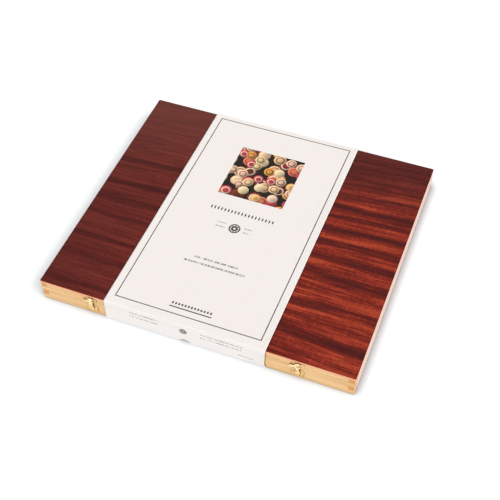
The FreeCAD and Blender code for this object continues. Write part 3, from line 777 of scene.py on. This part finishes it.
def printed_board():
    """White board with a grey border, rules and rosettes, and a square of coloured tablets."""
    material, add = new_material("printed_white_board")
    sheet = add("VectorMath", [add("TexCoord").outputs["UV"], 1 / mm], operation="SCALE")
    spot = add("SeparateXYZ", [sheet])
    across = add("Math", [spot.outputs["X"], sleeve_width / mm / 2], operation="SUBTRACT")
    down = spot.outputs["Y"]

    def box(middle, level, width, height):
        """One inside a rectangle of the print, zero outside."""
        in_columns = add("Math", [across, middle, width / 2], operation="COMPARE")
        in_rows = add("Math", [down, level, height / 2], operation="COMPARE")
        return add("Math", [in_columns, in_rows], operation="MULTIPLY")

    def rosette(level, radius):
        """A ring with an eight-petalled flower in it, round a bare middle, by shares of its radius."""
        up = add("Math", [down, level], operation="SUBTRACT")
        away = add("VectorMath", [add("CombineXYZ", [across, up])], operation="LENGTH")
        reach = add("Math", [away, radius], operation="DIVIDE")
        angle = add("Math", [up, across], operation="ARCTAN2")
        petal = add("Math", [add("Math", [angle, 8.0], operation="MULTIPLY")], operation="COSINE")
        edge = add("Math", [petal, 0.12, 0.64], operation="MULTIPLY_ADD")
        within = add("Math", [reach, edge], operation="LESS_THAN")
        beyond = add("Math", [reach, 0.22], operation="GREATER_THAN")
        flower = add("Math", [within, beyond], operation="MULTIPLY")
        return largest(add, [flower, add("Math", [reach, 0.9, 0.12], operation="COMPARE")])

    def lozenges(level, length, height, pitch, share):
        """A row of upright lozenges: |across| / half width + |down| / half height under one."""
        wide = add("Math", [across, pitch / 2], operation="PINGPONG")
        wide = add("Math", [wide, share * pitch], operation="DIVIDE")
        tall = add("Math", [down, level], operation="SUBTRACT")
        tall = add("Math", [tall], operation="ABSOLUTE")
        total = add("Math", [tall, 2 / height, wide], operation="MULTIPLY_ADD")
        inside = add("Math", [total, 1.0], operation="LESS_THAN")
        return add("Math", [inside, box(0, level, length, height)], operation="MULTIPLY")

    length = 2 * sleeve_out / mm
    middle = (border_back + length - border_front) / 2
    wide, high = sleeve_width / mm - 2 * border_side, length - border_front - border_back
    outer = box(0, middle, wide + border_width, high + border_width)
    inner = box(0, middle, wide - border_width, high - border_width)
    run = add("Mapping", {"Vector": sheet, "Scale": (0.8, 0.05, 1)})
    speck = add("TexNoise", {"Vector": run, "Scale": 1, "Detail": 1}, noise_dimensions="2D")
    dashes = add("Math", [speck, 0.45], operation="GREATER_THAN")
    dashes = add("Math", [dashes, small_ink_share], operation="MULTIPLY")
    lines = largest(add, [box(*line) for line in small_lines])
    printed = largest(add, [
        add("Math", [outer, inner], operation="SUBTRACT"),
        add("Math", [lines, dashes], operation="MULTIPLY"),
        *[lozenges(*row) for row in lozenge_rows], box(*underline), *[rosette(*seal) for seal in seals]])

    picture = picture_ground
    for size, shift, colours in tablet_layers:
        run = add("Mapping", {"Vector": sheet, "Location": shift,
                              "Scale": [1 / (tablet_cell * size)] * 3})
        cells = add("TexVoronoi", {"Vector": run, "Scale": 1, "Randomness": 0.75},
                    voronoi_dimensions="2D")
        reach = cells.outputs["Distance"]
        pick = add("SeparateXYZ", [cells.outputs["Color"]])
        disc = add("ValToRGB", [pick.outputs["X"]], colours, "CONSTANT")
        paint = add("ValToRGB", [pick.outputs["Z"]], tablet_rings, "CONSTANT")
        ring = add("Math", [reach, tablet_ring, tablet_ring_half], operation="COMPARE")
        ring = add("Math", [ring, 0.85], operation="MULTIPLY")
        disc = add("Mix", [ring, disc, paint], data_type="RGBA")
        local = add("VectorMath", [run, cells.outputs["Position"]], operation="SUBTRACT")
        lit = add("VectorMath", [local, (-1.0, -0.8, 0)], operation="DOT_PRODUCT")
        lit = add("MapRange", [lit, -0.45, 0.4, 0.35, 1.15])
        disc = add("VectorMath", [disc, lit], operation="SCALE")
        within = add("Math", [reach, tablet_radius], operation="LESS_THAN")
        chosen = add("Math", [pick.outputs["Y"], tablet_gaps], operation="GREATER_THAN")
        mask = add("Math", [within, chosen], operation="MULTIPLY")
        picture = add("Mix", [mask, picture, disc], data_type="RGBA")

    fibres = add("TexNoise", {"Vector": sheet, "Scale": 0.5, "Detail": 6, "Roughness": 0.7})
    board = add("ValToRGB", [fibres], [(0.35, "#f1eae6"), (0.65, "#f5eeea")])
    for mask, over in ((add("Math", [printed, 0.96], operation="MULTIPLY"), ink),
                       (box(0, picture_middle, picture_size, picture_size), picture),
                       # The board's inner end is painted grey, as the shade it lies in behind the notch.
                       (add("Math", [down, lap_shade_from / mm], operation="GREATER_THAN"), "#beb9b2")):
        board = add("Mix", [mask, board, over], data_type="RGBA")
    surface(add, fibres, 0.15, 0.05 * mm, {"Base Color": board, "Roughness": 0.45,
                                           "Specular IOR Level": 0.22})
    return material


def band(run, end, side):
    """Section of the band at lengths run from the middle of its front fold: front panel below zero,
    then a quarter round, the flat panel, the back fold and the back panel.

    The flat panel lies at height end; side is 1 for the top and -1 for the bottom. The result is
    y, z and the outward normal's y and z."""
    back = np.sign(run - fold_to_fold / 2)          # -1 in front of the middle, 1 behind it
    from_fold = np.where(back < 0, run, fold_to_fold - run)
    turn = np.clip((from_fold + half_arc) / crease_radius, 0, math.pi / 2)
    normal_y, normal_z = back * np.cos(turn), side * np.sin(turn)
    panel = np.minimum(from_fold + half_arc, 0)
    inward = np.maximum(from_fold - half_arc, 0)
    y = back * (sleeve_out - crease_radius - inward) + crease_radius * normal_y
    z = end - side * crease_radius + side * panel + crease_radius * normal_z
    return y, z, normal_y, normal_z


def divided(stops, steps):
    """Places along a line, with so many even steps from each stop to the next."""
    parts = [np.linspace(first, last, count, endpoint=False)
             for first, last, count in zip(stops, stops[1:], steps)]
    return np.concatenate([*parts, stops[-1:]])


def thicken(piece, thickness):
    board = piece.modifiers.new("board", "SOLIDIFY")
    board.thickness = thickness
    board.offset = -1


def sleeve_half(half, body, start, end, side, notch, material):
    """Carries the band's section across the sleeve; bow and edge lift move it along its normal.

    Its upright panels run from height start to the flat one at end. Two rows of points lie on the
    front fold. Over the notch they slide apart, as far as the height of a circle's segment, and no
    faces join them."""
    panel = abs(end - start) - crease_radius + half_arc
    front_rows = divided([-panel, -half_arc, 0], [11, 3])
    flat_rows = divided([0, half_arc, bend, fold_to_fold - bend, fold_to_fold - half_arc,
                         fold_to_fold], [3, 8, 59, 8, 3])
    back_rows = fold_to_fold - front_rows[::-1]
    run = np.concatenate([front_rows, flat_rows, back_rows[1:]])[:, None]
    fold_row = len(front_rows) - 1

    notch_across = notch_middle - sleeve_low.x
    across = divided([0, edge_strip, notch_across - notch_width / 2, notch_across + notch_width / 2,
                      sleeve_width - edge_strip, sleeve_width], [4, 27, 16, 27, 4])
    notch_radius = ((notch_width / 2) ** 2 + notch_height ** 2) / (2 * notch_height)
    segment = notch_radius ** 2 - np.minimum((across - notch_across) ** 2, (notch_width / 2) ** 2)
    bite = notch * (np.sqrt(segment) - notch_radius + notch_height)
    slide = np.clip(1 - np.abs(run) / (3 * notch_height), 0, 1)
    before_fold = (np.arange(len(run)) <= fold_row)[:, None]
    run = run + bite * slide * np.where(before_fold, -1, 1)

    y, z, normal_y, normal_z = band(run, end, side)
    share = (y + sleeve_out) / (2 * sleeve_out)
    narrow = slack + front_lead * (1 - share)
    x = (sleeve_low.x + sleeve_skew * share + front_lead * (1 - share)
         + across * (1 - narrow / sleeve_width) - sway * (1 - share) * (1 - z / sleeve_top))
    side_gap = np.minimum(across, sleeve_width - across)
    lift = edge_lift * np.exp(-side_gap / edge_lift_reach) * (0.6 + 0.4 * np.sin(y / edge_lift_pace + 1))
    ripple = (0.5 + 0.3 * np.sin(across / ripple_across) * np.cos(y / ripple_along)
              + 0.2 * np.sin(across / fine_ripple_across + y / fine_ripple_along))
    upright = np.abs(normal_y) ** 4
    swell = np.sin(math.pi * np.clip(z / sleeve_top, 0, 1))
    crown = np.sin(math.pi * np.clip(share, 0, 1)) ** 0.5
    bow = panel_bow * ripple * (upright * swell + (1 - upright) * 0.6 * (side > 0) * crown)
    stand_off = gape * np.exp((across - sleeve_width) / gape_reach) * upright * (y < 0) * swell ** 0.5
    out = bow + lift * (side > 0) + stand_off
    lean = (flare * np.clip(1 - z / flare_height, 0, 1) * np.clip(1 - share * 8, 0, 1)
            * np.clip((across - sleeve_width + flare_reach) / flare_reach, 0, 1) ** 2)
    points = np.stack(np.broadcast_arrays(x + lean, y + out * normal_y, z + out * normal_z), axis=-1)
    flat_place = sleeve_out - y if side > 0 else 3 * sleeve_out + sleeve_top + y
    panel_place = np.where(y < 0, 2 * sleeve_out + sleeve_top - z, z - sleeve_top)
    from_back = np.where(np.abs(normal_y) > math.sqrt(0.5), panel_place, flat_place)
    print_place = np.stack(np.broadcast_arrays(across, from_back), axis=-1)
    quads = grid_quads(*points.shape[:2])
    quads = quads[quads[:, 0] // len(across) != fold_row]
    piece = new_piece("card_sleeve_" + half, points, quads, material, body, "sleeve_" + half,
                      {"print": print_place})
    thicken(piece, board_thickness)


def sleeve_lap(material):
    """The band's inner end, seen through the notch: an upright strip, a quarter round, a flat strip."""
    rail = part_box("base_front_rail")[0]
    turn = np.linspace(0, math.pi / 2, 6)
    upright = np.linspace(lap_height, lap_radius, 5)[:-1]
    flat = np.linspace(lap_radius, lap_depth, 5)[1:]
    y = np.concatenate([0 * upright, lap_radius * (1 - np.cos(turn)), flat])
    z = np.concatenate([upright, lap_radius * (1 - np.sin(turn)), 0 * flat])
    x = notch_middle - sway + np.linspace(-notch_width, notch_width, 15)
    y = rail.y - lap_thickness + y[:, None]
    z = rail.z - lap_thickness + z[:, None]
    points = np.stack(np.broadcast_arrays(x, y, z), axis=-1)
    print_place = np.stack(np.broadcast_arrays(x - sleeve_low.x, lap_from + y), axis=-1)
    lap = new_piece("card_sleeve_lap", points, grid_quads(*points.shape[:2]), material, "base",
                    "sleeve_lower", {"print": print_place})
    thicken(lap, 0.8 * lap_thickness)


white_board = printed_board()
sleeve_half("upper", "lid", parting + seam, sleeve_top, 1, 0, white_board)
sleeve_half("lower", "base", parting - seam, sleeve_bottom, -1, 1, white_board)
sleeve_lap(white_board)


# Studio
# A white floor under a white sky, with one broad soft lamp in front and one at the right. The
# camera stands where the photograph was taken from.

floor_size = 8.0
floor_lift = 0.55
sky_light = 0.55
lamp_spread = math.radians(60)
shadow_rows = [             # where the light leans to, reach, open share at its start and end, rest
    ((-0.28, -0.47, 0.84), 13 * mm, 0.42, 1.0, 0.0),
    ((0.62, -0.55, 0.56), 36 * mm, 0.5, 0.92, 0.2),
]
camera_place = (330.7 * mm, -800.0 * mm, 1017.9 * mm)
camera_lens = 69.03         # in millimetres, as is the sensor
camera_sensor = 36
view_azimuth, view_elevation, view_roll = (math.radians(turn) for turn in (22.13, 50.28, -1.29))


def seen(add):
    """One for rays of the camera, of mirrors and of glass, and zero for light that spreads."""
    rays = add("LightPath").outputs
    return largest(add, [rays["Is %s Ray" % kind] for kind in ("Camera", "Glossy", "Transmission")])


def white_floor():
    """Pale floor; camera, mirror and glass rays see it a little brighter, so that it ends white, but
    less so beside the case, where the glow is turned down to paint the case's shadow.

    The share that is open to the light, round the direction where it leans, turns the glow down."""
    material, add = new_material("studio_floor")
    strength = add("Math", [seen(add), floor_lift], operation="MULTIPLY")
    for lean, reach, first, last, rest in shadow_rows:
        open_air = add("AmbientOcclusion", {"Distance": reach, "Normal": add("CombineXYZ", lean)})
        share = add("MapRange", [open_air.outputs["AO"], first, last, rest])
        strength = add("Math", [strength, share], operation="MULTIPLY")
    glow = add("Emission", ["#ffffff", strength])
    add("OutputMaterial", [add("AddShader", [add("BsdfDiffuse", ["#c0c4c8"]), glow])])
    return material


floor_mesh = bpy.data.meshes.new("floor")
floor_mesh.from_pydata([(x * floor_size / 2, y * floor_size / 2, 0)
                        for x, y in ((-1, -1), (1, -1), (1, 1), (-1, 1))], [], [(0, 1, 2, 3)])
floor_mesh.materials.append(white_floor())
floor = new_object("floor", floor_mesh)

sky = bpy.data.worlds.new("white_sky")
sky.use_nodes = True
sky.node_tree.nodes.clear()
add_sky = partial(add_node, sky.node_tree)
sky_strength = add_sky("MapRange", [seen(add_sky), 0, 1, sky_light, 1])
add_sky("OutputWorld", [add_sky("Background", ["#ffffff", sky_strength])])
bpy.context.scene.world = sky


def lamp(name, towards, level):
    """A far, broad lamp seen from the case along a direction; level is the white it gives face on."""
    light = bpy.data.lights.new(name, "SUN")
    light.angle = lamp_spread
    light.energy = math.pi * level
    made = new_object(name, light)
    made.rotation_euler = Vector(towards).to_track_quat("Z", "Y").to_euler()


lamp("front_lamp", (-0.05, -0.8, 0.6), 0.4)
lamp("right_lamp", (0.85, -0.25, 0.46), 0.5)

camera = new_object("camera", bpy.data.cameras.new("camera"))
camera.data.sensor_width = camera_sensor
camera.data.lens = camera_lens
turn = (Matrix.Rotation(view_azimuth, 4, "Z") @ Matrix.Rotation(math.pi / 2 - view_elevation, 4, "X")
        @ Matrix.Rotation(view_roll, 4, "Z"))
camera.matrix_world = Matrix.Translation(camera_place) @ turn
bpy.context.scene.camera = camera
bpy.context.scene.view_settings.view_transform = "Standard"
